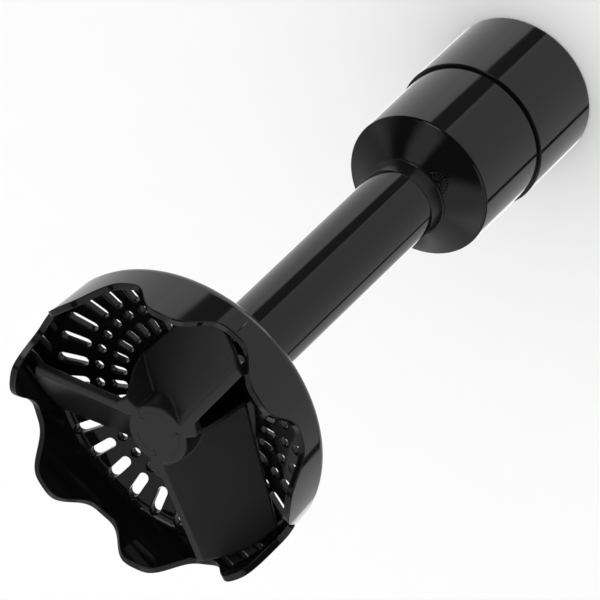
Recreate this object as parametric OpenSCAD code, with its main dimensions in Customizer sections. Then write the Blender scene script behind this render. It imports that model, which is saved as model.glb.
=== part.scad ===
// Potato-masher attachment for a hand blender.
// It stands on its coupling collar: Z = 0 is the collar's open end, +Z runs up the tube to the bell.

/* [Coupling] */
// Outer diameter of the coupling collar
collar_d = 57.8; // [57:0.2:60]
// Length of the coupling collar
collar_l = 37.6; // [36:0.1:37.6]
// Diameter of the socket that takes the handle
socket_d = 50; // [48:0.5:50]
// Straight depth of the socket
socket_depth = 20; // [18:0.5:20]
// Diameter of the drive coupler
coupler_d = 13; // [11:0.5:14]

/* [Gearbox] */
// Diameter of the lower housing at its conical face
housing_d = 55; // [54.6:0.1:55.6]
// Height at which the lower housing's straight wall ends
housing_top = 75.6; // [75:0.1:76.5]
// Height of the end of the housing's conical face
neck_z = 84.2; // [83.5:0.1:85]
// Gear module
gear_module = 0.9; // [0.8:0.05:0.9]
// Teeth on the sun gear
sun_teeth = 12; // [12:3:15]
// Teeth on each planet gear
planet_teeth = 18; // [12:6:18]
// Height of the gear train
gear_l = 14; // [12:0.5:14]

/* [Stem] */
// Tube diameter at the housing
tube_d = 28.3; // [28.1:0.1:28.5]
// Tube diameter at the bell
tube_end_d = 27.8; // [27.6:0.1:28]
// Diameter of the drive shaft
shaft_d = 8; // [7.6:0.1:8]

/* [Bell] */
// Outer diameter of the bell at the shoulder
bell_d = 106; // [105.6:0.2:106.4]
// Outer diameter of the bell at its rim
bell_rim_d = 108; // [107.6:0.2:108.4]
// Height of the lobe tips
rim_z = 254.7; // [254.2:0.1:255]
// Depth of the scallops between the lobes
scallop_depth = 11.5; // [10.5:0.1:12]
// Number of lobes on the rim
lobes = 8; // [6:1:9]
// Wall thickness of the bell
bell_wall = 2.4; // [2.2:0.1:2.5]
// Thickness of the grille
grille_t = 3.1; // [2.8:0.1:3.2]
// Number of radial rows in the grille
grille_rows = 32; // [24:1:32]
// Width of the long outer slots
slot_w = 3.7; // [3.2:0.1:3.8]

/* [Paddle] */
// Height of the hub's face
hub_face_z = 248.7; // [248.4:0.1:249]
// Diameter of the hub
hub_d = 22.2; // [21.4:0.2:22.4]
// Sweep radius of the blades
blade_r = 49.2; // [48.5:0.1:49.4]
// Angle of the first arm
arm_angle = -1.5; // [-5:0.5:5]
// Thickness of a blade
blade_t = 2; // [1.6:0.1:2]

/* [Hidden] */

$fn = 96;
run = 0.05;             // radial running clearance
copies = 3;             // planets, screws, pins and paddle arms
third = 360 / copies;
function lerp(a, b, t) = a + (b - a) * t;

// Coupling collar
collar_r = collar_d / 2;
socket_r = socket_d / 2;
web_t = 3;
web_hole_r = 8.5;
pocket_w = 9;
pocket_z = 6;
pocket_h = 5;
post_r = 3.2;
post_ring_r = 18.5;

// Bearing plate, screws and input side
plate_z = 30.5;
plate_t = 4.5;
bush_r = 6;
bush_z = 28;
bush_l = 11;
screw_r = 1.25;
screw_head_r = 2.6;
input_shaft_r = 3;
input_shaft_z = 22.8;
gear_z = 44;
coupler_z = 20.6;
coupler_l = 6.6;

// Gears
ring_teeth = sun_teeth + 2 * planet_teeth;
sun_r = gear_module * sun_teeth / 2;
planet_r = gear_module * planet_teeth / 2;
ring_r = gear_module * ring_teeth / 2;
centre_r = sun_r + planet_r;
addendum = 0.85 * gear_module;
dedendum = 1.15 * gear_module;
ring_outer_r = 25;
pin_r = 2;

// Carrier and output side
carrier_z = gear_z + gear_l + 0.6;
planet_z = gear_z + 0.8;
planet_l = gear_l - 0.6;
carrier_t = 5.5;
carrier_hub_r = 8.5;
carrier_hub_l = 8.5;
carrier_bush_z = 66.6;
carrier_bush_l = 6.4;
carrier_bush_r = 12;
shaft_r = shaft_d / 2;
shaft_z = 60.5;

// Lower housing
spigot_r = 24.9;
spigot_in_r = 22.8;
spigot_z = 35.6;
housing_z = 38.4;
housing_r = housing_d / 2;
housing_back_r = housing_r + 0.3;
housing_bore_r = ring_outer_r + 0.05;
housing_floor_z = 66;
housing_edge_r = 1.3;    // rounding between the straight wall and the conical face
face_sag = 0.3;         // how far the conical face is dished
neck_r = 15.4;
neck_ring_r = 15.15;     // foot of the flared ring
neck_ring_l = 7;
tube_seat_z = 74.4;

// Tube and its bearings
tube_r = tube_d / 2;
tube_end_r = tube_end_d / 2;
tube_in_r = 11.6;
tube_end_z = 218;
stem_bush_z = 200;
stem_bush_l = 12;
seal_z = 212.6;
seal_l = 4;
circlip_z = 198.3;

// Bell
bell_r = bell_d / 2;
bell_rim_r = bell_rim_d / 2;
shoulder_r = 6.2;       // outer fillet between the grille and the wall
dome_z = 224.35;        // inner face of the grille on the axis
dome_radius = 166;      // radius of the grille's shallow dome
boss_r = 16.6;
boss_z = 205.4;
bell_bush_r = 6.5;
bell_bush_z = tube_end_z - 0.8;
pitch_angle = 360 / lobes;
rim_phase = 4.6;
grille_phase = 7.4;

// Grille rows: from the outside in, a long slot, a round hole and a short slot
long_slot = [41.2, 48.1];
hole_ring_r = 35.9;
hole_r = 1.75;
short_slot = [27.4, 30.6];
short_slot_w = 3;

// Paddle
hub_r = hub_d / 2;
hub_z = 227.5;
strip_y = [-5.9, -2.9];
strip_t = 3.4;
strip_r = 47.9;
gusset = [[8, -4], [16.4, -5.8], [14.6, -7.9], [13.2, -8.4], [8.5, -5.8]];
trail_y = [23, 19.8];   // distance of the trailing edge from the arm's centre line, inner and outer end
trail_z = [229, 234.4];  // height of the trailing edge, inner and outer end
trail_x = [1, 43];
fin_x = [0.4, 2];
insert_r = 7;
insert_top = 241.4;
hex_r = 3.9;
hex_z = 230.3;
shaft_top = 239.8;
groove_z = 227.9;
groove_l = 1.6;

// A solid of revolution given as [radius, height] points
module spin(points) {
    rotate_extrude() polygon(points);
}

// A tube with its axis on Z
module pipe(z, l, r_out, r_in) {
    translate([0, 0, z]) difference() {
        cylinder(h = l, r = r_out);
        translate([0, 0, -1]) cylinder(h = l + 2, r = r_in);
    }
}

// Copies its children at equal angles round the axis
module around(n, start = 0) {
    for (i = [0 : n - 1]) rotate([0, 0, start + i * 360 / n]) children();
}

function polar(r, a) = [r * cos(a), r * sin(a)];

// One tooth: root, pitch and tip on one side, then back down the other side
function tooth(r, half, a) = concat(
    [for (k = [0 : 2]) polar(r[k], a - half[k])],
    [for (k = [2 : -1 : 0]) polar(r[k], a + half[k])]);

// Outline of a gear whose tooth half-widths are shares of its angular pitch
function gear_outline(teeth, r, share, phase) = [
    for (i = [0 : teeth - 1]) each tooth(r, share * 360 / teeth, phase + i * 360 / teeth)];

module spur_gear(teeth, pitch_r, phase, z, l, bore_r) {
    r = [pitch_r - dedendum, pitch_r, pitch_r + addendum];
    translate([0, 0, z]) difference() {
        linear_extrude(l) polygon(gear_outline(teeth, r, [0.3, 0.225, 0.11], phase));
        translate([0, 0, -1]) cylinder(h = l + 2, r = bore_r);
    }
}

module coupling_collar() {
    color("black") difference() {
        union() {
            spin([
                [socket_r, 0], [collar_r - 0.8, 0], [collar_r - 0.25, 0.25], [collar_r, 0.9],
                [collar_r - 0.1, collar_l - 1.5], [collar_r - 0.5, collar_l - 0.5],
                [collar_r - 1.4, collar_l], [socket_r, collar_l]
            ]);
            pipe(socket_depth, web_t, socket_r + 1, web_hole_r);
            around(copies, 60) translate([post_ring_r, 0, socket_depth + web_t - 0.5])
                cylinder(h = plate_z - socket_depth - web_t + 0.5, r = post_r, $fn = 48);
        }
        around(copies, 60) translate([post_ring_r, 0, socket_depth + web_t + 1])
            cylinder(h = 10, r = screw_r, $fn = 32);
        // pockets for the handle's two spring catches
        around(2, 90) translate([socket_r - 1, -pocket_w / 2, pocket_z])
            cube([2.6, pocket_w, pocket_h]);
    }
}

module housing_gasket() {
    color("dimgray") pipe(collar_l, housing_z - collar_l, collar_r - 1.9, spigot_r + 0.02);
}

// Height of the slightly dished conical face at a radius
function face_z(r) = let (t = (housing_r - r) / (housing_r - neck_r))
    lerp(housing_top, neck_z, t) - face_sag * 4 * t * (1 - t);

module gearbox_housing() {
    color("black") spin([
        [spigot_in_r, spigot_z], [spigot_r, spigot_z], [spigot_r, housing_z],
        [housing_back_r - 1.3, housing_z], [housing_back_r - 0.4, housing_z + 0.4],
        [housing_back_r, housing_z + 1.3], [housing_r, housing_top - housing_edge_r],
        [housing_r - 0.3, housing_top - 0.35],
        for (t = [0.1, 0.25, 0.5, 0.75]) let (r = lerp(housing_r, neck_r, t)) [r, face_z(r)],
        [neck_r, neck_z - 0.15], [neck_r - 0.2, neck_z], [tube_r + 0.02, neck_z],
        [tube_r + 0.02, tube_seat_z], [11, tube_seat_z], [11, carrier_bush_z + carrier_bush_l],
        [carrier_bush_r, carrier_bush_z + carrier_bush_l], [carrier_bush_r, housing_floor_z],
        [housing_bore_r, housing_floor_z], [housing_bore_r, gear_z - 0.5], [spigot_in_r, gear_z - 2.5]
    ]);
}

module neck_ring() {
    color("dimgray") spin([
        [tube_r + 0.02, neck_z], [neck_ring_r, neck_z],
        for (t = [0 : 0.2 : 1]) [tube_r + 0.3 + (neck_ring_r - tube_r - 0.3) * (1 - t) * (1 - t),
            neck_z + 0.3 + t * (neck_ring_l - 0.6)],
        [tube_r + 0.02, neck_z + neck_ring_l]
    ]);
}

module stem_tube() {
    color("black") translate([0, 0, tube_seat_z]) difference() {
        cylinder(h = tube_end_z - tube_seat_z, r1 = tube_r, r2 = tube_end_r);
        translate([0, 0, -1]) cylinder(h = tube_end_z - tube_seat_z + 2, r = tube_in_r);
    }
}

// Height of the grille's inner face at a radius
function floor_z(r) = dome_z + r * r / (2 * dome_radius);
function arc(c, r, a0, a1, n) = [for (i = [0 : n]) c + polar(r, lerp(a0, a1, i / n))];

// Height of the rim at an angle from the middle of a scallop
function rim_wave(a) = rim_z - scallop_depth / 2
    - scallop_depth / 2 * (cos(lobes * a) - 0.1 * cos(3 * lobes * a)) / 0.9;

module bell_shell() {
    fillet_x = bell_r - shoulder_r;
    in_r = shoulder_r - bell_wall;
    outer = concat(
        [[bell_bush_r, tube_end_z], [tube_end_r + 0.05, tube_end_z], [tube_end_r + 0.05, boss_z]],
        [[boss_r - 0.8, boss_z], [boss_r, boss_z + 0.8], [boss_r + 1.2, boss_z + 10]],
        [for (r = [20 : 8 : 36]) [r, floor_z(r) - grille_t]],
        arc([fillet_x, floor_z(fillet_x) - grille_t + shoulder_r], shoulder_r, -86, 0, 8),
        [[bell_rim_r, rim_z]]);
    inner = concat(
        [[bell_rim_r - bell_wall, rim_z]],
        arc([fillet_x, floor_z(fillet_x) + in_r], in_r, 0, -86, 6),
        [for (r = [38 : -6 : 8]) [r, floor_z(r)]],
        [[bell_bush_r, dome_z]]);
    spin(concat(outer, inner));
}

module slot_2d(r, w) {
    for (x = r) translate([x, 0]) circle(d = w, $fn = 24);
    translate([r[0], -w / 2]) square([r[1] - r[0], w]);
}

module grille_row_2d() {
    slot_2d(long_slot, slot_w);
    translate([hole_ring_r, 0]) circle(r = hole_r, $fn = 24);
    slot_2d(short_slot, short_slot_w);
}

module scallop_cut() {
    reach = pitch_angle / 2 - 0.5;
    steps = 16;
    outline = concat(
        [for (i = [0 : steps]) let (a = lerp(-reach, reach, i / steps))
            [bell_rim_r * sin(a), rim_wave(a)]],
        [[bell_rim_r * sin(reach), rim_z + 2], [-bell_rim_r * sin(reach), rim_z + 2]]);
    rotate([90, 0, 90]) translate([0, 0, bell_rim_r - 12]) linear_extrude(16) polygon(outline);
}

module masher_bell() {
    color("black") difference() {
        bell_shell();
        translate([0, 0, dome_z - 6]) linear_extrude(18) around(grille_rows, grille_phase) grille_row_2d();
        around(lobes, rim_phase) scallop_cut();
    }
}

// Upper face of a blade, in its arm's frame: X out along the arm, Y towards the trailing edge
function blade_slope(x) = let (t = (x - trail_x[0]) / (trail_x[1] - trail_x[0]))
    (hub_face_z - lerp(trail_z[0], trail_z[1], t)) / (lerp(trail_y[0], trail_y[1], t) - strip_y[1]);
function blade_z(x, y) = hub_face_z - (y - strip_y[1]) * blade_slope(x);
function root_x(y) = let (r = hub_r - 1) abs(y) < r - 1 ? sqrt(r * r - y * y) : 1.2;
function tip_x(y) = let (r = lerp(strip_r, blade_r, (y - strip_y[1]) / (trail_y[1] - strip_y[1])))
    sqrt(r * r - y * y);

// A swept blade as one closed mesh: rows run out along the arm, columns from leading to trailing edge
module blade() {
    rows = 6;
    cols = 8;
    y_end = [for (j = [0 : rows]) lerp(trail_y[0], trail_y[1], j / rows)];
    function place(i, j) = let (
        y = lerp(strip_y[1] - 0.4, y_end[j], i / cols),
        x = lerp(root_x(y), tip_x(y), j / rows)) [x, y];
    function thick(i) = lerp(blade_t + 0.8, 1.2, i / cols);
    function index(i, j, k) = (k * (cols + 1) + i) * (rows + 1) + j;
    points = [for (k = [0, 1], i = [0 : cols], j = [0 : rows]) let (p = place(i, j))
        [p[0], p[1], blade_z(p[0], max(p[1], strip_y[1])) - k * thick(i)]];
    faces = concat(
        [for (i = [0 : cols - 1], j = [0 : rows - 1]) each [
            [index(i, j, 0), index(i + 1, j, 0), index(i + 1, j + 1, 0)],
            [index(i, j, 0), index(i + 1, j + 1, 0), index(i, j + 1, 0)],
            [index(i, j, 1), index(i + 1, j + 1, 1), index(i + 1, j, 1)],
            [index(i, j, 1), index(i, j + 1, 1), index(i + 1, j + 1, 1)]]],
        [for (i = [0 : cols - 1], j = [0, rows]) each j == 0
            ? [[index(i, j, 0), index(i + 1, j, 1), index(i + 1, j, 0)],
               [index(i, j, 0), index(i, j, 1), index(i + 1, j, 1)]]
            : [[index(i, j, 0), index(i + 1, j, 0), index(i + 1, j, 1)],
               [index(i, j, 0), index(i + 1, j, 1), index(i, j, 1)]]],
        [for (j = [0 : rows - 1], i = [0, cols]) each i == 0
            ? [[index(i, j, 0), index(i, j + 1, 0), index(i, j + 1, 1)],
               [index(i, j, 0), index(i, j + 1, 1), index(i, j, 1)]]
            : [[index(i, j, 0), index(i, j + 1, 1), index(i, j + 1, 0)],
               [index(i, j, 0), index(i, j, 1), index(i, j + 1, 1)]]]);
    polyhedron(points, faces);
}

// The upright rib that stiffens a blade's inner end
module fin() {
    outline = [
        [hub_r - 2.5, hub_face_z], [15.6, hub_face_z], [20.9, 237.6], [trail_y[0], trail_z[0]],
        [trail_y[0] - 0.8, trail_z[0] - 1], [hub_r - 2.5, blade_z(fin_x[0], hub_r - 2.5) - 1.5]
    ];
    translate([fin_x[0], 0, 0]) rotate([90, 0, 90]) linear_extrude(fin_x[1] - fin_x[0]) polygon(outline);
}

// The flat land along a blade's leading edge
module strip() {
    intersection() {
        translate([hub_r - 3, strip_y[0], hub_face_z - strip_t])
            cube([strip_r, strip_y[1] - strip_y[0], strip_t]);
        cylinder(h = hub_face_z + 1, r = strip_r);
    }
}

// The flat corner between a land and the rib beside it
module gusset_plate() {
    translate([0, 0, hub_face_z - strip_t]) linear_extrude(strip_t) polygon(gusset);
}

module masher_paddle() {
    color("black") difference() {
        union() {
            translate([0, 0, hub_z]) cylinder(h = hub_face_z - hub_z, r = hub_r);
            around(copies, arm_angle) {
                blade();
                fin();
                strip();
                gusset_plate();
            }
        }
        translate([0, 0, hub_z - 1]) cylinder(h = insert_top - hub_z + 1, r = insert_r + 0.02);
    }
}

module drive_coupler() {
    color("dimgray") translate([0, 0, coupler_z]) difference() {
        union() {
            cylinder(h = coupler_l, d = coupler_d - 3, $fn = 48);
            around(6) translate([-1.1, 0, 0]) cube([2.2, coupler_d / 2, coupler_l]);
        }
        translate([0, 0, input_shaft_z - coupler_z]) cylinder(h = coupler_l, r = input_shaft_r + 0.01);
        translate([0, 0, -1]) cylinder(h = 2.4, r = 2, $fn = 6);
    }
}

module input_shaft() {
    color("silver") translate([0, 0, input_shaft_z])
        cylinder(h = gear_z + gear_l - input_shaft_z, r = input_shaft_r);
}

module input_bush() {
    color("goldenrod") pipe(bush_z, bush_l, bush_r, input_shaft_r + run);
}

module bearing_plate() {
    color("gray") difference() {
        union() {
            pipe(plate_z, plate_t, socket_r - 0.1, bush_r + 0.01);
            pipe(plate_z - 1.5, 7.5, bush_r + 2.5, bush_r + 0.01);
        }
        around(copies, 60) translate([post_ring_r, 0, plate_z - 1])
            cylinder(h = plate_t + 2, r = screw_r + 0.3, $fn = 32);
    }
}

module plate_screws() {
    color("silver") around(copies, 60) translate([post_ring_r, 0, 0]) difference() {
        union() {
            translate([0, 0, plate_z - 5]) cylinder(h = plate_t + 5, r = screw_r - 0.02, $fn = 32);
            translate([0, 0, plate_z + plate_t]) cylinder(h = 1.8, r = screw_head_r, $fn = 32);
        }
        translate([0, 0, plate_z + plate_t + 0.8]) cylinder(h = 2, r = 1.1, $fn = 6);
    }
}

module sun_gear() {
    color("silver") spur_gear(sun_teeth, sun_r, 0, gear_z, gear_l, input_shaft_r + 0.01);
}

module ring_gear() {
    r = [ring_r - addendum, ring_r, ring_r + dedendum];
    color("ivory") translate([0, 0, gear_z]) difference() {
        cylinder(h = gear_l, r = ring_outer_r);
        translate([0, 0, -1]) linear_extrude(gear_l + 2)
            polygon(gear_outline(ring_teeth, r, [0.37, 0.275, 0.18], 180 / ring_teeth));
    }
}

module planet_gear(i) {
    color("ivory") rotate([0, 0, i * third]) translate([centre_r, 0, 0])
        spur_gear(planet_teeth, planet_r, 180 / planet_teeth, planet_z, planet_l, pin_r + run);
}

module planet_pins() {
    color("silver") around(copies) translate([centre_r, 0, gear_z - 0.6])
        cylinder(h = carrier_z + carrier_t - gear_z - 0.4, r = pin_r);
}

module pin_washers() {
    color("silver") around(copies) translate([centre_r, 0, 0])
        pipe(gear_z - 0.2, 0.7, pin_r + 1.8, pin_r + 0.02);
}

module planet_carrier() {
    color("gray") difference() {
        union() {
            pipe(carrier_z, carrier_t, centre_r + 5, shaft_r + 0.01);
            pipe(carrier_z, carrier_t + carrier_hub_l, carrier_hub_r, shaft_r + 0.01);
        }
        around(copies) translate([centre_r, 0, carrier_z - 1])
            cylinder(h = carrier_t + 0.5, r = pin_r + 0.01);
    }
}

module carrier_bush() {
    color("goldenrod") pipe(carrier_bush_z, carrier_bush_l, carrier_bush_r - 0.01, carrier_hub_r + run);
}

module drive_shaft() {
    color("silver") difference() {
        union() {
            translate([0, 0, shaft_z]) cylinder(h = hex_z - shaft_z, r = shaft_r);
            translate([0, 0, hex_z]) cylinder(h = shaft_top - hex_z, r = hex_r, $fn = 6);
        }
        pipe(groove_z, groove_l, shaft_r + 1, shaft_r - 0.8);
        pipe(circlip_z, 1.2, shaft_r + 1, shaft_r - 0.6);
    }
}

module shaft_circlip() {
    color("silver") difference() {
        pipe(circlip_z + 0.1, 1, shaft_r + 2, shaft_r - 0.58);
        translate([0, -1.5, circlip_z]) cube([shaft_r + 4, 3, 2]);
    }
}

module stem_bush() {
    color("goldenrod") pipe(stem_bush_z, stem_bush_l, tube_in_r - 0.02, shaft_r + run);
}

module shaft_seal() {
    color("dimgray") spin([
        [shaft_r + run, seal_z], [tube_in_r - 0.02, seal_z], [tube_in_r - 0.02, seal_z + seal_l],
        [tube_in_r - 1.6, seal_z + seal_l], [tube_in_r - 1.6, seal_z + 1.2], [shaft_r + 1.4, seal_z + 1.2],
        [shaft_r + 1, seal_z + seal_l - 0.4], [shaft_r + run, seal_z + seal_l - 0.4]
    ]);
}

module bell_bush() {
    color("goldenrod") spin([
        [shaft_r + run, bell_bush_z], [bell_bush_r + 2, bell_bush_z],
        [bell_bush_r + 2, tube_end_z], [bell_bush_r - 0.02, tube_end_z],
        [bell_bush_r - 0.02, dome_z + 0.6], [shaft_r + run, dome_z + 0.6]
    ]);
}

module paddle_insert() {
    color("gray") translate([0, 0, hub_z]) difference() {
        cylinder(h = insert_top - hub_z - 0.1, r = insert_r);
        translate([0, 0, -1]) cylinder(h = hex_z - hub_z + 1.3, r = shaft_r + 0.08);
        translate([0, 0, -1]) cylinder(h = shaft_top - hub_z + 1.5, r = hex_r + 0.12, $fn = 6);
    }
}

module retaining_ring() {
    color("dimgray") pipe(groove_z + 0.1, groove_l - 0.2, shaft_r, shaft_r - 0.78);
}

coupling_collar();
housing_gasket();
gearbox_housing();
neck_ring();
stem_tube();
masher_bell();
masher_paddle();
drive_coupler();
input_shaft();
input_bush();
bearing_plate();
plate_screws();
sun_gear();
ring_gear();
planet_gear(0);  // planet_gear_1
planet_gear(1);  // planet_gear_2
planet_gear(2);  // planet_gear_3
planet_pins();
pin_washers();
planet_carrier();
carrier_bush();
drive_shaft();
shaft_circlip();
stem_bush();
shaft_seal();
bell_bush();
paddle_insert();
retaining_ring();
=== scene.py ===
"""Potato-masher attachment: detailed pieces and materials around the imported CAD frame.

Lengths in the shape code are millimetres; MM turns them into Blender's metres.
"""

import math

import bmesh
import bpy
from mathutils import Matrix, Vector
from mathutils.geometry import delaunay_2d_cdt


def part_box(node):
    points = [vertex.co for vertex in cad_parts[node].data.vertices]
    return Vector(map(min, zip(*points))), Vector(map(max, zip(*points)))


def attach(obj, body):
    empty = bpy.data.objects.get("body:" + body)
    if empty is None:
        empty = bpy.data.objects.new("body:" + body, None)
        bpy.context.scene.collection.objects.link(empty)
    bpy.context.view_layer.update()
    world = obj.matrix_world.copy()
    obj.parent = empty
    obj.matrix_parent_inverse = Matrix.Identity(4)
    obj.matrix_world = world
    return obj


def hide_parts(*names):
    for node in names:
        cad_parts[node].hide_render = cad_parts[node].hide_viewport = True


MM = 0.001

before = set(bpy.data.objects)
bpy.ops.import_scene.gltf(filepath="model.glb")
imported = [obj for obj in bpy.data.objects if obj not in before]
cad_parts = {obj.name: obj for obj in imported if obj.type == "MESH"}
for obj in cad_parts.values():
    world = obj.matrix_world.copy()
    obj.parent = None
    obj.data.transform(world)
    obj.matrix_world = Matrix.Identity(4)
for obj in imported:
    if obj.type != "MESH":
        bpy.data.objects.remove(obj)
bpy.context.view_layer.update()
scene = bpy.context.scene


def span(node):
    """Largest radius, bottom and top of a CAD node, in millimetres."""
    low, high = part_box(node)
    return high.x / MM, low.z / MM, high.z / MM


# ---------------------------------------------------------------- shapes


def rounded(corners, steps=5, support=0.15):
    """Outline of (r, z, fillet) corners as (r, z) points, each corner turned into an arc with a support
    point on either side, so that smooth shading stays inside the fillet."""
    points = []
    n = len(corners)
    for i, (r, z, fillet) in enumerate(corners):
        here = Vector((r, z))
        if not fillet:
            points.append(here)
            continue
        before = Vector(corners[i - 1][:2]) - here
        after = Vector(corners[(i + 1) % n][:2]) - here
        a, b = before.normalized(), after.normalized()
        half = math.acos(max(-1, min(1, a.dot(b)))) / 2
        reach = fillet / math.tan(half)
        centre = here + (a + b).normalized() * fillet / math.sin(half)
        spare_a = min(support, before.length / 2 - reach) if before.length / 2 > reach else 0
        spare_b = min(support, after.length / 2 - reach) if after.length / 2 > reach else 0
        if spare_a > 0:
            points.append(here + a * (reach + spare_a))
        start, end = here + a * reach - centre, here + b * reach - centre
        turn = start.angle_signed(end)
        for k in range(steps + 1):
            t = -turn * k / steps
            arm = Vector((
                start.x * math.cos(t) - start.y * math.sin(t),
                start.x * math.sin(t) + start.y * math.cos(t),
            ))
            points.append(centre + arm)
        if spare_b > 0:
            points.append(here + b * (reach + spare_b))
    return [(p.x, p.y) for p in points]


def finish_mesh(name, verts, faces, weld=0.002):
    """New object from vertices in millimetres: welded, facing outwards and smooth."""
    mesh = bpy.data.meshes.new(name)
    mesh.from_pydata([(x * MM, y * MM, z * MM) for x, y, z in verts], [], faces)
    piece = bpy.data.objects.new(name, mesh)
    scene.collection.objects.link(piece)
    bm = bmesh.new()
    bm.from_mesh(mesh)
    bmesh.ops.remove_doubles(bm, verts=bm.verts, dist=weld * MM)
    bmesh.ops.recalc_face_normals(bm, faces=bm.faces)
    for face in bm.faces:
        face.smooth = True
    bm.to_mesh(mesh)
    bm.free()
    return piece


def ring_faces(rows, columns, wrap_rows=False):
    """Quads of a grid whose columns close on themselves."""
    faces = []
    for i in range(rows if wrap_rows else rows - 1):
        low, high = i * columns, (i + 1) % rows * columns
        for j in range(columns):
            k = (j + 1) % columns
            faces.append((low + j, low + k, high + k, high + j))
    return faces


def revolve(outline, columns, centre=(0, 0)):
    """Vertices and faces of a closed outline turned round the axis."""
    verts = []
    for r, z in outline:
        for j in range(columns):
            a = math.tau * j / columns
            verts.append((centre[0] + r * math.cos(a), centre[1] + r * math.sin(a), z))
    return verts, ring_faces(len(outline), columns, wrap_rows=True)


def lathe(name, corners, columns, steps):
    """New object turned from an outline of (r, z, fillet) corners."""
    return finish_mesh(name, *revolve(rounded(corners, steps), columns))


class Shell:
    """Collects parts of one mesh."""

    def __init__(self):
        self.verts, self.faces = [], []

    def add(self, verts, faces):
        first = len(self.verts)
        self.verts.extend(verts)
        self.faces.extend(tuple(first + i for i in face) for face in faces)

    def box(self, low, high, turn=0):
        """A box between two corners, turned about the axis by an angle in degrees."""
        c, s = math.cos(math.radians(turn)), math.sin(math.radians(turn))
        verts = []
        for z in (low[2], high[2]):
            for x, y in ((low[0], low[1]), (high[0], low[1]), (high[0], high[1]), (low[0], high[1])):
                verts.append((x * c - y * s, x * s + y * c, z))
        self.add(verts, [
            (0, 3, 2, 1), (4, 5, 6, 7), (0, 1, 5, 4), (1, 2, 6, 5), (2, 3, 7, 6), (3, 0, 4, 7)])


def apply_modifiers(piece):
    """Replaces a piece's mesh with what its modifiers make of it."""
    shown = piece.evaluated_get(bpy.context.evaluated_depsgraph_get())
    mesh = bpy.data.meshes.new_from_object(shown)
    piece.modifiers.clear()
    old = piece.data
    piece.data = mesh
    bpy.data.meshes.remove(old)
    mesh.name = piece.name


def cut(piece, cutter):
    """Subtracts a cutter from a piece and removes the cutter."""
    tool = piece.modifiers.new("cut", "BOOLEAN")
    tool.operation, tool.solver, tool.object = "DIFFERENCE", "EXACT", cutter
    apply_modifiers(piece)
    mesh = cutter.data
    bpy.data.objects.remove(cutter)
    bpy.data.meshes.remove(mesh)


# ---------------------------------------------------------------- materials


class Nodes:
    """Short names for the nodes of one material or world."""

    def __init__(self, tree):
        self.tree = tree

    def new(self, kind, **inputs):
        node = self.tree.nodes.new(kind)
        for key, value in inputs.items():
            self.put(node, key.replace("_", " "), value)
        return node

    def put(self, node, key, value):
        socket = node.inputs[int(key)] if key.isdigit() else node.inputs[key]
        if isinstance(value, bpy.types.NodeSocket):
            self.tree.links.new(value, socket)
        else:
            socket.default_value = value

    def math(self, operation, a, b=0.0, c=0.0, clamp=False):
        node = self.tree.nodes.new("ShaderNodeMath")
        node.operation, node.use_clamp = operation, clamp
        for i, value in enumerate((a, b, c)):
            self.put(node, str(i), value)
        return node.outputs[0]

    def span(self, value, low, high, out_low, out_high):
        """Smooth step of a value from out_low at low to out_high at high."""
        node = self.tree.nodes.new("ShaderNodeMapRange")
        node.interpolation_type = "SMOOTHSTEP"
        for key, v in (("Value", value), ("From Min", low), ("From Max", high), ("To Min", out_low),
                       ("To Max", out_high)):
            self.put(node, key, v)
        return node.outputs["Result"]

    def noise(self, vector, scale, detail, rough):
        node = self.new("ShaderNodeTexNoise", Vector=vector, Scale=scale, Detail=detail, Roughness=rough)
        return node.outputs["Fac"]

    def mix(self, factor, a, b):
        node = self.tree.nodes.new("ShaderNodeMix")
        node.data_type = "RGBA"
        self.put(node, "0", factor)
        self.put(node, "6", a)
        self.put(node, "7", b)
        return node.outputs[2]


def rgb(colour):
    return (*colour, 1.0)


CLOUD_SCALE, CLOUD_DETAIL, CLOUD_ROUGH = 60.0, 4.0, 0.6
GRAIN_DETAIL, GRAIN_ROUGH = 3.0, 0.55
SECOND_GAIN = 1.25
IOR = 1.5


def surface(name, colour, rough, *, grain, grain_depth, metallic=0.0, second=None, rough_spread=0.04,
            stretch=None, **uniform):
    """A Principled material. Colour drifts between two tones, roughness between two levels, and bump
    comes from a fine grain; stretch gives the grain's scale along each axis."""
    material = bpy.data.materials.new(name)
    material.use_nodes = True
    tree = material.node_tree
    tree.nodes.clear()
    n = Nodes(tree)
    place = n.new("ShaderNodeTexCoord").outputs["Object"]
    shader = n.new("ShaderNodeBsdfPrincipled", Metallic=metallic, IOR=IOR)
    for key, value in uniform.items():
        shader.inputs[key.replace("_", " ")].default_value = value
    cloud = n.noise(place, CLOUD_SCALE, CLOUD_DETAIL, CLOUD_ROUGH)
    second = second or tuple(c * SECOND_GAIN for c in colour)
    n.put(shader, "Base Color", n.mix(cloud, rgb(colour), rgb(second)))
    fine_place = place
    if stretch:
        mapping = n.new("ShaderNodeMapping", Vector=place, Scale=stretch)
        fine_place = mapping.outputs["Vector"]
    fine = n.noise(fine_place, grain, GRAIN_DETAIL, GRAIN_ROUGH)
    drift = n.span(cloud, 0.3, 0.7, rough - rough_spread, rough + rough_spread)
    n.put(shader, "Roughness", n.math("MULTIPLY_ADD", fine, rough_spread, drift, clamp=True))
    bump = n.new("ShaderNodeBump", Strength=1.0, Distance=grain_depth * MM, Height=fine)
    n.put(shader, "Normal", bump.outputs["Normal"])
    out = n.new("ShaderNodeOutputMaterial", Surface=shader.outputs[0])
    out.is_active_output = True
    return material


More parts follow.
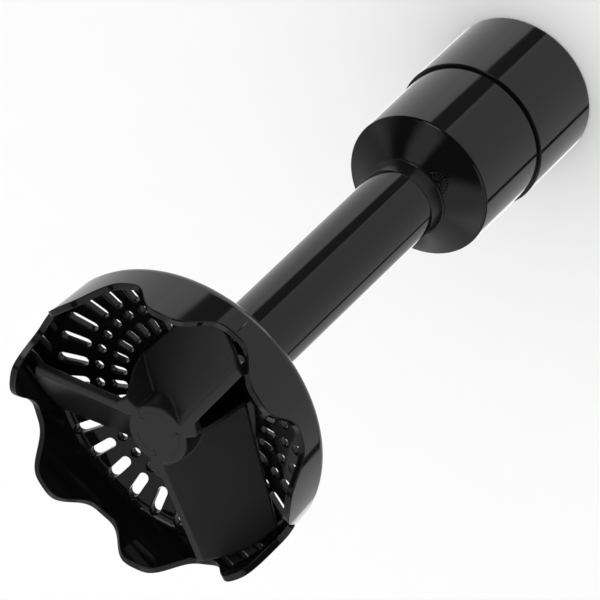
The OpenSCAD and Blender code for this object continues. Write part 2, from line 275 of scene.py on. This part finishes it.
MATERIALS = {
    "gloss_black": surface(
        "gloss_black", (0.0026, 0.0026, 0.0028), 0.045, rough_spread=0.02, grain=500.0, grain_depth=0.0012),
    "satin_black": surface(
        "satin_black", (0.0085, 0.0085, 0.009), 0.36, rough_spread=0.05, grain=3200.0, grain_depth=0.02),
    "satin_trim": surface(
        "satin_trim", (0.0045, 0.0045, 0.0048), 0.16, rough_spread=0.05, grain=1800.0, grain_depth=0.006),
    "dark_rubber": surface(
        "dark_rubber", (0.008, 0.008, 0.008), 0.7, rough_spread=0.08, grain=1500.0, grain_depth=0.03),
    "grey_nylon": surface(
        "grey_nylon", (0.15, 0.155, 0.16), 0.42, second=(0.19, 0.195, 0.2), rough_spread=0.08,
        grain=1800.0, grain_depth=0.02),
    "ivory_acetal": surface(
        "ivory_acetal", (0.72, 0.69, 0.6), 0.35, second=(0.76, 0.73, 0.65), rough_spread=0.06,
        grain=900.0, grain_depth=0.01, Subsurface_Weight=0.1, Subsurface_Scale=0.002),
    "bronze": surface(
        "bronze", (0.5, 0.32, 0.15), 0.38, metallic=1.0, second=(0.58, 0.4, 0.21), rough_spread=0.1,
        grain=2600.0, grain_depth=0.04),
    "ground_steel": surface(
        "ground_steel", (0.55, 0.55, 0.56), 0.22, metallic=1.0, second=(0.62, 0.62, 0.63),
        rough_spread=0.06, grain=700.0, grain_depth=0.006, stretch=(0.12, 0.12, 9.0)),
    "gear_steel": surface(
        "gear_steel", (0.34, 0.34, 0.35), 0.36, metallic=1.0, second=(0.42, 0.42, 0.43),
        rough_spread=0.09, grain=1400.0, grain_depth=0.012),
    "screw_steel": surface(
        "screw_steel", (0.5, 0.5, 0.48), 0.3, metallic=1.0, second=(0.58, 0.56, 0.5),
        rough_spread=0.08, grain=1200.0, grain_depth=0.01),
}


def dress(piece, body, slot, *nodes):
    """Gives a new piece its material and its body, and hides the CAD nodes that it stands for."""
    piece.data.materials.clear()
    piece.data.materials.append(MATERIALS[slot])
    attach(piece, body)
    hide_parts(*nodes)


# Carried-over CAD nodes keep their shape and take the procedural material of their slot.
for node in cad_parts.values():
    for i, old in enumerate(node.data.materials):
        node.data.materials[i] = MATERIALS[old.name]

# ---------------------------------------------------------------- coupling collar and gearbox

LATHE_COLUMNS, FINE_COLUMNS = 192, 256
WEB_Z, WEB_HOLE_R = 20.0, 8.5
WEB_TOP = WEB_Z + 3.0
SOCKET_R = 25.0
POST_RING_R, POST_R, POST_TOP, POST_BORE_R = 18.5, 3.2, 30.5, 1.25
POST_TURNS, POCKET_TURNS = (60, 180, 300), (90, 270)
POCKET_HALF, POCKET_Z = 4.5, (6, 11)

collar_r, _, collar_top = span("coupling_collar")
collar = Shell()
collar.add(*revolve(rounded([
    (SOCKET_R, 0, 0.4), (collar_r, 0, 0.9), (collar_r, collar_top, 0.35), (SOCKET_R, collar_top, 0.3),
    (SOCKET_R, WEB_TOP, 0.4), (WEB_HOLE_R, WEB_TOP, 0.3), (WEB_HOLE_R, WEB_Z, 0.3),
    (SOCKET_R, WEB_Z, 0.6),
]), FINE_COLUMNS))
for turn in POST_TURNS:
    a = math.radians(turn)
    at = (POST_RING_R * math.cos(a), POST_RING_R * math.sin(a))
    collar.add(*revolve(rounded([
        (POST_BORE_R, WEB_TOP + 1, 0.1), (POST_BORE_R, POST_TOP, 0.2), (POST_R, POST_TOP, 0.25),
        (POST_R + 0.25, WEB_TOP - 0.5, 0.1), (0.3, WEB_TOP - 0.5, 0.1),
        (0.3, WEB_TOP + 1, 0.1),
    ], 3), 48, at))
collar = finish_mesh("collar_body", collar.verts, collar.faces)
pockets = Shell()
for turn in POCKET_TURNS:
    pockets.box((SOCKET_R - 1, -POCKET_HALF, POCKET_Z[0]), (SOCKET_R + 1.6, POCKET_HALF, POCKET_Z[1]), turn)
cut(collar, finish_mesh("pockets", pockets.verts, pockets.faces))
dress(collar, "housing", "gloss_black", "coupling_collar")

GASKET_IN_R = 24.95
gasket_r, gasket_low, gasket_top = span("housing_gasket")
dress(lathe("gasket_ring", [
    (GASKET_IN_R, gasket_low, 0.15), (gasket_r, gasket_low, 0.25), (gasket_r, gasket_top, 0.25),
    (GASKET_IN_R, gasket_top, 0.15),
], LATHE_COLUMNS, 3), "housing", "dark_rubber", "housing_gasket")

housing_back_r, spigot_z, _ = span("gearbox_housing")
neck_low = span("neck_ring")[1]
tube_r, tube_low, tube_top = span("stem_tube")
FACE_R, FACE_Z, NECK_R, FACE_SAG = 27.5, 75.7, 15.5, 0.35
FACE_STOPS = (25.2, 24, 22.5, 21, 19.5, 18, 16.8, 16)
BACK_Z, SPIGOT_R, SPIGOT_IN_R = 38.4, 24.9, 22.8
CAVITY_R, CAVITY_TOP, BUSH_R, BUSH_TOP, NOSE_R = 25.05, 66, 12, 73, 11


def face_z(r):
    """Height of the slightly dished conical face."""
    t = (FACE_R - r) / (FACE_R - NECK_R)
    return FACE_Z + (neck_low - FACE_Z) * t - FACE_SAG * 4 * t * (1 - t)


housing = Shell()
housing.add(*revolve(rounded([
    (SPIGOT_IN_R, spigot_z, 0.3), (SPIGOT_R, spigot_z, 0.3), (SPIGOT_R, BACK_Z, 0.1),
    (gasket_r + 0.05, BACK_Z, 0.1),
    (gasket_r + 0.05, collar_top + 0.2, 0.1), (housing_back_r - 0.05, collar_top + 0.2, 0.15),
    (housing_back_r, 38.8, 2),
    (FACE_R, FACE_Z, 1.3), *((r, face_z(r), 0) for r in FACE_STOPS),
    (NECK_R, neck_low, 0.15), (tube_r + 0.03, neck_low, 0.1),
    (tube_r + 0.03, tube_low, 0.1), (NOSE_R, tube_low, 0.2), (NOSE_R, BUSH_TOP, 0.2),
    (BUSH_R, BUSH_TOP, 0.2), (BUSH_R, CAVITY_TOP, 0.3), (CAVITY_R, CAVITY_TOP, 0.5),
    (CAVITY_R, 43.5, 0.3), (SPIGOT_IN_R, 41.5, 0.3),
]), FINE_COLUMNS))


def cone_place(across, along, lift):
    """Point on the housing's conical face: degrees across, millimetres of radius, lift off the face."""
    slope = Vector((face_z(along - 0.5) - face_z(along + 0.5), 1)).normalized()
    r = along + lift * slope.x
    z = face_z(along) + lift * slope.y
    a = math.radians(across)
    return (r * math.cos(a), r * math.sin(a), z)


def ridge(shell, path, place, width, height):
    """A thin raised line along an open path of flat points."""
    n = len(path)
    verts, faces = [], []
    for i, p in enumerate(path):
        q = path[i + 1] if i < n - 1 else p
        o = path[i - 1] if i > 0 else p
        along = (Vector(q) - Vector(o)).normalized()
        side = Vector((-along.y, along.x)) * width / 2
        for shift, lift in ((-1, -0.1), (-1, height * 0.6), (-0.5, height), (0.5, height), (1, height * 0.6),
                            (1, -0.1)):
            verts.append(place(p[0] + side.x * shift, p[1] + side.y * shift, lift))
    for i in range(n - 1):
        low, high = i * 6, (i + 1) * 6
        for j in range(6):
            k = (j + 1) % 6
            faces.append((low + j, low + k, high + k, high + j))
    faces.append(tuple(range(6)))
    faces.append(tuple(reversed(range((n - 1) * 6, n * 6))))
    shell.add(verts, faces)


# A generic mould-cavity clock on the conical face, half hidden by the flared ring.
MARK_ANGLE, MARK_R, MARK_SIZE, MARK_FROM = -17.5, 14.2, 4.6, 15.55
MARK_ARC_STEPS, MARK_SPOKES = 30, 12


def mark_place(x, y, lift):
    return cone_place(MARK_ANGLE - math.degrees(x / (MARK_R + y)), MARK_R + y, lift)


for radius in (MARK_SIZE, MARK_SIZE * 0.52):
    start = math.asin((MARK_FROM - MARK_R) / radius)
    sweep = math.pi - 2 * start
    arc = [(radius * math.cos(start + sweep * k / MARK_ARC_STEPS),
            radius * math.sin(start + sweep * k / MARK_ARC_STEPS)) for k in range(MARK_ARC_STEPS + 1)]
    ridge(housing, arc, mark_place, 0.5, 0.5)
for k in range(1, MARK_SPOKES):
    a = math.pi * k / MARK_SPOKES
    near = max(MARK_SIZE * 0.5, (MARK_FROM - MARK_R) / math.sin(a))
    if near < MARK_SIZE * 0.85:
        ridge(housing, [(t * math.cos(a), t * math.sin(a)) for t in (near, MARK_SIZE * 0.98)],
              mark_place, 0.46, 0.54)
dress(finish_mesh("housing_body", housing.verts, housing.faces), "housing", "gloss_black",
      "gearbox_housing")

_, ring_low, ring_top = span("neck_ring")
FLARE_FOOT, FLARE_LIP, FLARE_RISE, FLARE_STEPS = 15.4, 0.3, 0.5, 14


def flare_r(z):
    """Radius of the neck ring, which flares from the tube's skin down to its foot."""
    t = (ring_top - z) / (ring_top - ring_low)
    return tube_r + (FLARE_FOOT - FLARE_LIP - tube_r) * (t + t * t) / 2


flare_levels = (ring_low + FLARE_RISE + (ring_top - ring_low - FLARE_RISE) * k / FLARE_STEPS
                for k in range(FLARE_STEPS + 1))
flare = [(flare_r(z), z, 0) for z in flare_levels]
dress(lathe("neck_collar", [
    (tube_r - 0.02, ring_low, 0.1), (FLARE_FOOT, ring_low, 0), (FLARE_FOOT, ring_low + 0.4, 0.2), *flare,
    (tube_r - 0.02, ring_top + 0.01, 0),
], LATHE_COLUMNS, 6), "housing", "satin_trim", "neck_ring")

TUBE_END_R, TUBE_IN_R, TAPER_FROM = 13.9, 11.6, 95
dress(lathe("stem_body", [
    (TUBE_IN_R, tube_low, 0.2), (tube_r, tube_low, 0.3), (tube_r, TAPER_FROM, 0),
    (TUBE_END_R, tube_top, 0.3), (TUBE_IN_R, tube_top, 0.2),
], LATHE_COLUMNS, 3), "housing", "gloss_black", "stem_tube")

# ---------------------------------------------------------------- bell

ROWS, ROW_PHASE = 32, 7.4
SECTOR = 360 / ROWS
LOBES, RIM_PHASE, SCALLOP = 8, 4.6, 11.5
WALL, GRILLE_T = 2.4, 3.1
DOME_Z, DOME_RADIUS = 224.35, 166.0
SHOULDER_R, FILLET_R = 46.8, 6.2
RIM_R, RIM_CORNER, RIM_STEPS, RIM_SUPPORT, RIM_FLAT = 54.0, 0.35, 5, 0.15, 0.1
WALL_STEPS, INNER_BEND, OUTER_BEND = 12, 4, 10
THIRD_WAVE = 0.107
_, bell_low, rim_z = span("masher_bell")
EDGE, SUPPORT = 0.28, 0.08
PARTING, PARTING_SIZE = (4.2, 184.2), (0.3, 0.06)
BOSS_FOOT_R, BOSS_R, BORE_R = 20.6, 16.6, 6.5
SOCKET_WALL_R = TUBE_END_R + 0.06
IN_R, OUT_R = 24.5, 50.45
IN_STEPS, OUT_STEPS = 6, 12
CAP_STEPS, SIDE_STEPS = 7, 5
LAND_STEP, LAND_PITCH, LAND_MARGIN, SLIVER = 1.3, 0.95, 0.4, 0.002
BEND_RADII = (46.2, 47.0, 47.7, 48.3, 48.9, 49.4, 49.8, 50.15)
# (inner centre, outer centre, half width) of the openings in one row
OPENINGS = ((41.2, 48.0, 1.85), (35.9, 35.9, 1.75), (27.4, 30.6, 1.5))


def dome(r):
    return DOME_Z + r * r / (2 * DOME_RADIUS)


def tangent(radius, drop):
    """Where a fillet of this radius, centred at SHOULDER_R, leaves the dome: (radius, centre height)."""
    r = SHOULDER_R
    for _ in range(20):
        slope = r / DOME_RADIUS
        r = SHOULDER_R + radius * slope / math.hypot(1, slope)
    return r, dome(r) - drop + radius / math.hypot(1, r / DOME_RADIUS)


INNER = (FILLET_R - WALL, *tangent(FILLET_R - WALL, 0.0))
OUTER = (FILLET_R, *tangent(FILLET_R, GRILLE_T))


def floor_z(r, side):
    """Height of the grille's inner (side 0) or outer (side 1) surface."""
    radius, leave, centre = (INNER, OUTER)[side]
    if r <= leave:
        return dome(r) - side * GRILLE_T
    return centre - math.sqrt(max(0.0, radius**2 - (r - SHOULDER_R) ** 2))


def stadium(r0, r1, half):
    """Outline of a slot along the row, the same number of points for any half width."""
    points = []
    sides = SIDE_STEPS if r1 > r0 else 0
    for centre, start in ((r1, -90), (r0, 90)):
        for k in range(CAP_STEPS + 1):
            a = math.radians(start + 180 * k / CAP_STEPS)
            points.append((centre + half * math.cos(a), half * math.sin(a)))
        other, sign = (r0, 1) if centre == r1 else (r1, -1)
        for k in range(1, sides):
            points.append((centre + (other - centre) * k / sides, sign * half))
    if not sides:
        points = [p for i, p in enumerate(points) if i not in (CAP_STEPS, 2 * CAP_STEPS + 1)]
    return points


def inside(x, y, loop):
    hit = False
    for i, (x1, y1) in enumerate(loop):
        x0, y0 = loop[i - 1]
        if (y0 > y) != (y1 > y) and x < (x1 - x0) * (y - y0) / (y1 - y0) + x0:
            hit = not hit
    return hit


def slot_distance(x, y):
    """Distance of a flat point from the nearest opening's outline, negative inside it."""
    best = 99.0
    for r0, r1, half in OPENINGS:
        nearest = min(max(x, r0), r1)
        best = min(best, math.hypot(x - nearest, y) - half)
    return best


def sector_plan():
    """Flat points and triangles of one row's land round its openings."""
    half = math.radians(SECTOR / 2)
    radii = [IN_R + LAND_STEP * k for k in range(1, 17)] + [*BEND_RADII]
    outline = []
    for k in range(OUT_STEPS + 1):
        a = half * (2 * k / OUT_STEPS - 1)
        outline.append((OUT_R * math.cos(a), OUT_R * math.sin(a)))
    for r in reversed(radii):
        outline.append((r * math.cos(half), r * math.sin(half)))
    for k in range(IN_STEPS + 1):
        a = half * (1 - 2 * k / IN_STEPS)
        outline.append((IN_R * math.cos(a), IN_R * math.sin(a)))
    for r in radii:
        outline.append((r * math.cos(half), -r * math.sin(half)))
    loops = [stadium(r0, r1, h + EDGE + SUPPORT) for r0, r1, h in OPENINGS]
    points, edges = [], []
    for loop in [outline] + loops:
        first = len(points)
        points.extend(loop)
        edges.extend((first + i, first + (i + 1) % len(loop)) for i in range(len(loop)))
    for r in radii:
        count = max(2, round(r * 2 * half / LAND_PITCH))
        for k in range(1, count):
            a = half * (2 * k / count - 1)
            x, y = r * math.cos(a), r * math.sin(a)
            if slot_distance(x, y) > EDGE + SUPPORT + LAND_MARGIN:
                points.append((x, y))
    got = delaunay_2d_cdt([Vector(p) for p in points], edges, [], 0, 1e-4)
    verts = [(v.x, v.y) for v in got[0]]
    faces = []
    for face in got[2]:
        x = sum(verts[i][0] for i in face) / len(face)
        y = sum(verts[i][1] for i in face) / len(face)
        (ax, ay), (bx, by), (cx, cy) = (verts[i] for i in face[:3])
        sliver = abs((bx - ax) * (cy - ay) - (cx - ax) * (by - ay)) < SLIVER
        if not sliver and inside(x, y, outline) and not any(inside(x, y, loop) for loop in loops):
            faces.append(tuple(face))
    return verts, faces


def turned(x, y, a):
    return x * math.cos(a) - y * math.sin(a), x * math.sin(a) + y * math.cos(a)


def rim_height(phi):
    a = LOBES * math.radians(phi - RIM_PHASE)
    wave = (math.cos(a) - THIRD_WAVE * math.cos(3 * a)) / (1 - THIRD_WAVE)
    return rim_z - SCALLOP / 2 * (1 + wave)


def wall_radius(z, side):
    """Radius of the wall's inner (side 0) or outer (side 1) face."""
    foot, base = SHOULDER_R + FILLET_R, OUTER[2]
    return foot + (RIM_R - foot) * (z - base) / (rim_z - base) - (0 if side else WALL)


def wall_profile(top):
    """One column of the wall: up the inner face, over the rim and down the outer face."""
    low = top - RIM_CORNER
    below = low - RIM_SUPPORT
    inner, outer = wall_radius(low, 0), wall_radius(low, 1)
    path = []
    radius, _, centre = INNER
    start = math.asin((OUT_R - SHOULDER_R) / radius)
    for k in range(INNER_BEND + 1):
        t = start + (math.pi / 2 - start) * k / INNER_BEND
        path.append((SHOULDER_R + radius * math.sin(t), centre - radius * math.cos(t)))
    for k in range(1, WALL_STEPS + 1):
        z = centre + (below - centre) * k / WALL_STEPS
        path.append((wall_radius(z, 0), z))
    for k in range(RIM_STEPS + 1):
        t = math.pi / 2 * k / RIM_STEPS
        path.append((inner + RIM_CORNER * (1 - math.cos(t)), low + RIM_CORNER * math.sin(t)))
    path.append((inner + RIM_CORNER + RIM_FLAT, top))
    path.append((outer - RIM_CORNER - RIM_FLAT, top))
    for k in range(RIM_STEPS + 1):
        t = math.pi / 2 * (1 - k / RIM_STEPS)
        path.append((outer - RIM_CORNER * (1 - math.cos(t)), low + RIM_CORNER * math.sin(t)))
    radius, _, centre = OUTER
    for k in range(WALL_STEPS + 1):
        z = below - (below - centre) * k / WALL_STEPS
        path.append((wall_radius(z, 1), z))
    start = math.asin((OUT_R - SHOULDER_R) / radius)
    for k in range(1, OUTER_BEND + 1):
        t = math.pi / 2 - (math.pi / 2 - start) * k / OUTER_BEND
        path.append((SHOULDER_R + radius * math.sin(t), centre - radius * math.cos(t)))
    return path


def add_grille(shell):
    """The slotted floor: both surfaces of every row's land, and the rounded walls of its openings."""
    flat, triangles = sector_plan()
    edge_angles = [math.radians(a) for a in (90, 67, 45, 22, 0)]
    # rings of each opening, from the inner surface's land down to the outer surface's land
    steps = [(EDGE + SUPPORT, 0, 0.0)]
    steps += [(EDGE * (1 - math.cos(a)), 0, EDGE * (1 - math.sin(a))) for a in edge_angles]
    steps += [(EDGE * (1 - math.cos(a)), 1, EDGE * (1 - math.sin(a))) for a in reversed(edge_angles)]
    steps += [(EDGE + SUPPORT, 1, 0.0)]
    for row in range(ROWS):
        a = math.radians(ROW_PHASE + row * SECTOR)
        for side in (0, 1):
            verts = [(*turned(x, y, a), floor_z(math.hypot(x, y), side)) for x, y in flat]
            shell.add(verts, triangles)
        for r0, r1, half in OPENINGS:
            verts = []
            for grow, side, depth in steps:
                loop = stadium(r0, r1, half + grow)
                for x, y in loop:
                    z = floor_z(math.hypot(x, y), side) + (depth if side else -depth)
                    verts.append((*turned(x, y, a), z))
            shell.add(verts, ring_faces(len(steps), len(loop)))


def bell_mesh():
    shell = Shell()
    add_grille(shell)

    # wall and scalloped rim, one profile for each column
    columns = ROWS * OUT_STEPS
    angles = [ROW_PHASE - SECTOR / 2 + 360 * j / columns for j in range(columns)]
    grid = [(math.radians(phi), wall_profile(rim_height(phi))) for phi in angles]
    rows = len(grid[0][1])
    verts = [(path[i][0] * math.cos(a), path[i][0] * math.sin(a), path[i][1])
             for i in range(rows) for a, path in grid]
    shell.add(verts, ring_faces(rows, columns))

    # boss, socket and the floor's middle
    middle = rounded([
        (IN_R, floor_z(IN_R, 1), 0), (BOSS_FOOT_R, floor_z(BOSS_FOOT_R, 1), 2.6), (17.8, 215.4, 3.0),
        (BOSS_R, bell_low, 0.8), (SOCKET_WALL_R, bell_low, 0.25), (SOCKET_WALL_R, tube_top, 0.1),
        (BORE_R, tube_top, 0.1), (BORE_R, dome(BORE_R), 0.3), (14, dome(14), 6), (IN_R, dome(IN_R), 0),
    ], 6)
    columns = ROWS * IN_STEPS
    shift = math.radians(ROW_PHASE - SECTOR / 2)
    verts = [(r * math.cos(shift + math.tau * j / columns), r * math.sin(shift + math.tau * j / columns), z)
             for r, z in middle for j in range(columns)]
    shell.add(verts, ring_faces(len(middle), columns))

    # the mould's parting line, a fine raised thread on the outer wall
    for phi in PARTING:
        def place(x, z, lift, phi=phi):
            r = wall_radius(z, 1) + lift
            a = math.radians(phi) + x / r
            return (r * math.cos(a), r * math.sin(a), z)

        ridge(shell, [(0, OUTER[2] + 0.5), (0, rim_height(phi) - 1.0)], place, *PARTING_SIZE)
    return finish_mesh("bell_body", shell.verts, shell.faces, 0.01)


dress(bell_mesh(), "housing", "gloss_black", "masher_bell")

# ---------------------------------------------------------------- paddle

_, HUB_Z, FACE_TOP = span("masher_paddle")
HUB_R, INSERT_R, INSERT_TOP = 11.1, 7.02, 241.4
ARM_ANGLE, BLADE_R, BLADE_BULGE, BLADE_T = -1.5, 49.4, 0.8, (2.8, 1.3)
BLADE_ROWS, BLADE_COLS = 14, 12
STRIP_END, STRIP_START, STRIP_Y, STRIP_T = 48.3, 8.1, (-5.9, -2.9), 3.4
TRAIL_X, TRAIL_Y, TRAIL_Z = (1.0, 43.0), (23.0, 19.8), (229.0, 234.4)
FIN_X, FIN_ROOT, FIN_TOP, FIN_KNEE = (0.4, 2.0), HUB_R - 2.5, 15.6, (20.9, 237.6)
GUSSET = ((8, -4), (16.4, -5.8), (14.6, -7.9), (13.2, -8.4), (8.5, -5.8))
VOXEL, SMOOTHING, SMOOTH_STEPS = 0.00042, 0.5, 3
RELIEF_R, RELIEF_TURNS, RELIEF_SINK, RELIEF_SIZE = 8.2, (20, 140, 260), 0.12, (0.45, 0.2)


def lerp(a, b, t):
    return a + (b - a) * t


def blade_z(x, y):
    """Height of a blade's upper face, in its arm's frame."""
    t = (x - TRAIL_X[0]) / (TRAIL_X[1] - TRAIL_X[0])
    slope = (FACE_TOP - lerp(*TRAIL_Z, t)) / (lerp(*TRAIL_Y, t) - STRIP_Y[1])
    return FACE_TOP - (max(y, STRIP_Y[1]) - STRIP_Y[1]) * slope


def blade_part(shell, turn):
    """One swept blade: a grid of its upper face, the same grid lowered, and the rim between them."""
    rows, cols = BLADE_ROWS, BLADE_COLS
    grid = []
    for layer in (0, 1):
        for i in range(cols + 1):
            for j in range(rows + 1):
                y = lerp(STRIP_Y[1] - 0.4, lerp(*TRAIL_Y, j / rows), i / cols)
                root = math.sqrt((HUB_R - 1) ** 2 - y * y) if abs(y) < HUB_R - 2 else 1.2
                across = min(1, max(0, y - STRIP_Y[1]) / (TRAIL_Y[1] - STRIP_Y[1]))
                reach = lerp(STRIP_END, BLADE_R, across) + BLADE_BULGE * math.sin(math.pi * across)
                x = lerp(root, math.sqrt(reach**2 - y * y), j / rows)
                z = blade_z(x, y) - layer * lerp(*BLADE_T, i / cols)
                grid.append((*turned(x, y, turn), z))
    step, half = rows + 1, (rows + 1) * (cols + 1)
    faces = []
    for i in range(cols):
        for j in range(rows):
            q = (i * step + j, (i + 1) * step + j, (i + 1) * step + j + 1, i * step + j + 1)
            faces += [q, tuple(half + v for v in reversed(q))]
    rim = [i * step for i in range(cols + 1)] + [cols * step + j for j in range(1, rows + 1)]
    rim += [i * step + rows for i in reversed(range(cols))] + [j for j in reversed(range(1, rows))]
    for a, b in zip(rim, rim[1:] + rim[:1]):
        faces.append((a, half + a, half + b, b))
    shell.add(grid, faces)


def plate(shell, outline, low, high, place):
    """A closed plate: an outline of flat points between two levels, placed by a function."""
    n = len(outline)
    verts = [place(*p, low) for p in outline] + [place(*p, high) for p in outline]
    faces = [tuple(reversed(range(n))), tuple(range(n, 2 * n))]
    faces += [(i, (i + 1) % n, n + (i + 1) % n, n + i) for i in range(n)]
    shell.add(verts, faces)


def paddle_mesh():
    """Hub, blades, ribs, gussets and fins, fused by a fine remesh, with the relief laid on the hub."""
    shell = Shell()
    shell.add(*revolve(rounded([
        (INSERT_R, HUB_Z, 0.2), (HUB_R, HUB_Z, 0.4), (HUB_R, FACE_TOP, 0.3), (0.3, FACE_TOP, 0.05),
        (0.3, INSERT_TOP, 0.05), (INSERT_R, INSERT_TOP, 0.2),
    ], 3), 96))
    # the hub's crown is closed by a small plug, because its outline stops short of the axis
    shell.add(*revolve([(0.001, INSERT_TOP), (0.001, FACE_TOP), (0.8, FACE_TOP), (0.8, INSERT_TOP)], 24))
    for k in range(3):
        turn = math.radians(ARM_ANGLE + 120 * k)
        blade_part(shell, turn)
        tip = [(math.sqrt(STRIP_END**2 - y * y), y) for y in (lerp(*STRIP_Y, i / 6) for i in range(7))]
        strip = [(STRIP_START, STRIP_Y[1]), (STRIP_START, STRIP_Y[0])] + tip
        for outline in (strip, GUSSET[::-1]):
            plate(shell, outline, FACE_TOP - STRIP_T, FACE_TOP, lambda x, y, z: (*turned(x, y, turn), z))
        fin = [(FIN_ROOT, FACE_TOP), (FIN_TOP, FACE_TOP), FIN_KNEE, (TRAIL_Y[0], TRAIL_Z[0]),
               (TRAIL_Y[0] - 0.8, TRAIL_Z[0] - 1), (FIN_ROOT, blade_z(FIN_X[0], FIN_ROOT) - 1.5)]
        plate(shell, fin, *FIN_X, lambda y, z, x: (*turned(x, y, turn), z))
    piece = finish_mesh("paddle_body", shell.verts, shell.faces, 0.0005)
    union = piece.modifiers.new("union", "REMESH")
    union.mode, union.voxel_size = "VOXEL", VOXEL
    union.use_smooth_shade = True
    smooth = piece.modifiers.new("smooth", "SMOOTH")
    smooth.factor, smooth.iterations = SMOOTHING, SMOOTH_STEPS
    apply_modifiers(piece)

    # a faint turning arrow in three parts on the hub's face
    relief = Shell()

    def on_hub(x, y, lift):
        return (x, y, FACE_TOP - RELIEF_SINK + lift)

    for turn in RELIEF_TURNS:
        arc = [(RELIEF_R * math.cos(math.radians(turn + a)), RELIEF_R * math.sin(math.radians(turn + a)))
               for a in range(0, 71, 7)]
        ridge(relief, arc, on_hub, *RELIEF_SIZE)
        for side in (0.8, 1.2):
            tip = math.radians(turn + 60)
            head = [arc[-1], (RELIEF_R * side * math.cos(tip), RELIEF_R * side * math.sin(tip))]
            ridge(relief, head, on_hub, *RELIEF_SIZE)
    extra = finish_mesh("relief", relief.verts, relief.faces, 0.0005)
    bm = bmesh.new()
    bm.from_mesh(piece.data)
    bm.from_mesh(extra.data)
    bm.to_mesh(piece.data)
    bm.free()
    mesh = extra.data
    bpy.data.objects.remove(extra)
    bpy.data.meshes.remove(mesh)
    return piece


dress(paddle_mesh(), "paddle", "satin_black", "masher_paddle")

# ---------------------------------------------------------------- floor, light and camera

FLOOR_SIDE = 60.0
bpy.ops.mesh.primitive_grid_add(x_subdivisions=4, y_subdivisions=4, size=FLOOR_SIDE)
floor = bpy.context.object
floor.name = "floor"
floor.visible_glossy = False
floor.data.materials.append(surface(
    "floor_paper", (0.86, 0.86, 0.86), 0.9, second=(0.88, 0.88, 0.88), grain=40.0, grain_depth=0.01,
    Specular_IOR_Level=0.0))

# The studio: each panel is (azimuth from, to, edge softness, elevation from, to, softness, brightness,
# lean), in degrees, as the glossy plastic sees it. Lean is the azimuth's shift per degree of elevation.
LEAN_FROM = -49.0
DARK_LEVEL, SKY_LEVEL = 0.03, 1.45
PANELS = (
    (-99, 28, 2.0, -95, -35, 8, 0.68, 0.0),
    (-30, 28, 20, -35, -12, 8, 0.4, 0.0),
    (-105, -99, 2.0, -43, -35, 2, 0.66, 0.0),
    (50, 200, 5.0, -95, -38, 6, 1.05, 2.2),
    (-200, -105, 2.5, -95, -38, 10, 0.8, 0.0),
    (24, 72, 4, -95, -38, 8, 0.1, 0.0),
    (30, 52, 8, 4, 36, 8, 2.2, 0.0),
    (-175, -38, 14, -10, 54, 10, 0.6, 0.0),
    (32, 74, 20, 40, 66, 10, 0.66, 0.0),
    (90, 200, 36, -38, 28, 16, 0.35, 0.0),
    (108, 250, 30, 25, 95, 12, 0.5, 0.0),
)


def studio():
    """World light: glossy rays see the panels, and every other ray sees an even sky."""
    world = bpy.data.worlds.new("studio")
    scene.world = world
    world.use_nodes = True
    world.cycles.sampling_method = "NONE"
    tree = world.node_tree
    tree.nodes.clear()
    n = Nodes(tree)
    split = n.new("ShaderNodeSeparateXYZ", Vector=n.new("ShaderNodeTexCoord").outputs["Generated"])
    azimuth = n.math("DEGREES", n.math("ARCTAN2", split.outputs[1], split.outputs[0]))
    height = n.math("DEGREES", n.math("ARCSINE", split.outputs[2]))
    total = DARK_LEVEL
    for a0, a1, edge, e0, e1, soft, level, lean in PANELS:
        centre, width = (a0 + a1) / 2, (a1 - a0) / 2
        upright = n.math("MULTIPLY_ADD", height, -lean, lean * LEAN_FROM - centre)
        apart = n.math("ABSOLUTE", n.math("WRAP", n.math("ADD", azimuth, upright), 180.0, -180.0))
        across = n.span(apart, width - edge / 2, width + edge / 2, 1.0, 0.0)
        up = n.math("ABSOLUTE", n.math("SUBTRACT", height, (e0 + e1) / 2))
        along = n.span(up, (e1 - e0) / 2 - soft / 2, (e1 - e0) / 2 + soft / 2, 1.0, 0.0)
        total = n.math("MULTIPLY_ADD", n.math("MULTIPLY", across, along), level, total)
    ray = n.new("ShaderNodeLightPath")
    seen = n.new("ShaderNodeBackground", Strength=total)
    plain = n.new("ShaderNodeBackground", Strength=SKY_LEVEL)
    mixed = n.new("ShaderNodeMixShader", Fac=ray.outputs["Is Glossy Ray"])
    tree.links.new(plain.outputs[0], mixed.inputs[1])
    tree.links.new(seen.outputs[0], mixed.inputs[2])
    n.new("ShaderNodeOutputWorld", Surface=mixed.outputs[0])


studio()
scene.view_settings.view_transform = "Standard"

LENS, SENSOR, FAR_CLIP = 272.43, 36.0, 100.0
CAMERA_AT = Vector((1.08512, -0.04752, 1.25307))
RIGHT = Vector((0.482054, -0.713552, -0.508396))
UP = Vector((0.522184, 0.699933, -0.487253))
camera = bpy.data.objects.new("camera", bpy.data.cameras.new("camera"))
scene.collection.objects.link(camera)
camera.data.lens, camera.data.sensor_width, camera.data.clip_end = LENS, SENSOR, FAR_CLIP
facing = Matrix((RIGHT, UP, RIGHT.cross(UP))).transposed().to_4x4()
camera.matrix_world = Matrix.Translation(CAMERA_AT) @ facing
scene.camera = camera
